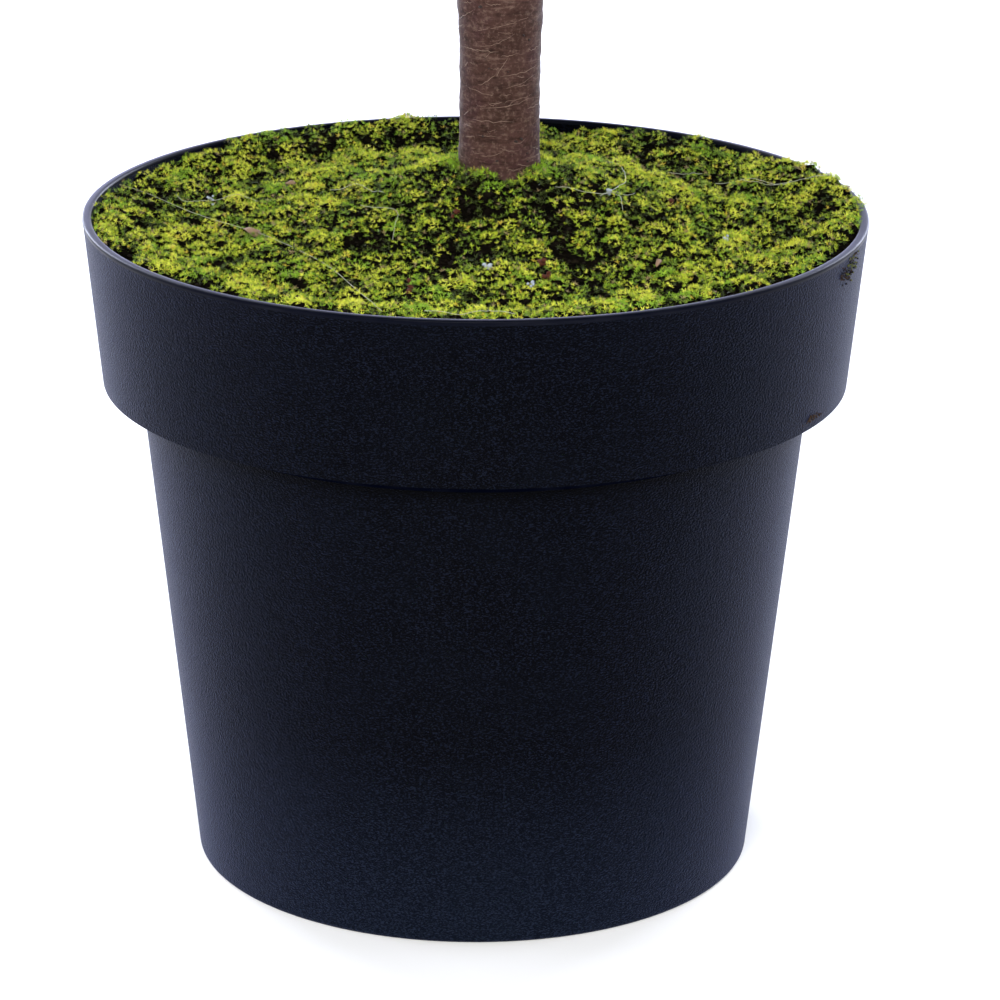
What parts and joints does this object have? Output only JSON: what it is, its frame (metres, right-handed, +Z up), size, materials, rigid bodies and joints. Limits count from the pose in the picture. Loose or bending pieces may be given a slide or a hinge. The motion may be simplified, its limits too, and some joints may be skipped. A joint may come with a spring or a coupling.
{
  "type": "potted norfolk island pine",
  "caption": "Young Norfolk Island pine in a collared black nursery pot: straight trunk, tiers of flat feathery boughs, moss-covered soil.",
  "frame": {"origin": "middle of the pot's flat underside, on the ground", "axes": "+Z up along the trunk, +X to the right and +Y away from the viewer as pictured"},
  "size_m": [0.8421, 0.7575, 1.5012],
  "materials": {
    "pot": "black moulded plastic with a fine pebbled grain",
    "soil": "dark moist potting compost",
    "moss": "living moss of small star-shaped shoots",
    "bark": "purple-brown papery bark with fine pale flakes",
    "twig_bark": "green-brown young bark",
    "needles": "soft green awl-shaped needles"
  },
  "bodies": {
    "root": {"pot": "pot", "potting_soil": "soil", "moss_mat": "moss", "trunk": "bark", "leader_tip": "needles", "bough_1_1": "twig_bark", "foliage_1_1": "needles", "bough_1_2": "twig_bark", "foliage_1_2": "needles", "bough_1_3": "twig_bark", "foliage_1_3": "needles", "bough_1_4": "twig_bark", "foliage_1_4": "needles", "bough_1_5": "twig_bark", "foliage_1_5": "needles", "bough_1_6": "twig_bark", "foliage_1_6": "needles", "bough_2_1": "twig_bark", "foliage_2_1": "needles", "bough_2_2": "twig_bark", "foliage_2_2": "needles", "bough_2_3": "twig_bark", "foliage_2_3": "needles", "bough_2_4": "twig_bark", "foliage_2_4": "needles", "bough_2_5": "twig_bark", "foliage_2_5": "needles", "bough_2_6": "twig_bark", "foliage_2_6": "needles", "foliage_3_1": "needles", "foliage_3_2": "needles", "foliage_3_3": "needles", "foliage_3_4": "needles", "foliage_3_5": "needles", "foliage_3_6": "needles", "foliage_4_1": "needles", "foliage_4_2": "needles", "foliage_4_3": "needles", "foliage_4_4": "needles", "foliage_4_5": "needles", "foliage_5_1": "needles", "foliage_5_2": "needles", "foliage_5_3": "needles", "foliage_5_4": "needles", "foliage_5_5": "needles", "foliage_6_1": "needles", "foliage_6_2": "needles", "foliage_6_3": "needles", "foliage_6_4": "needles", "foliage_6_5": "needles", "foliage_7_1": "needles", "foliage_7_2": "needles", "foliage_7_3": "needles", "foliage_7_4": "needles", "foliage_7_5": "needles", "foliage_8_1": "needles", "foliage_8_2": "needles", "foliage_8_3": "needles", "foliage_8_4": "needles"}
  },
  "joints": []
}
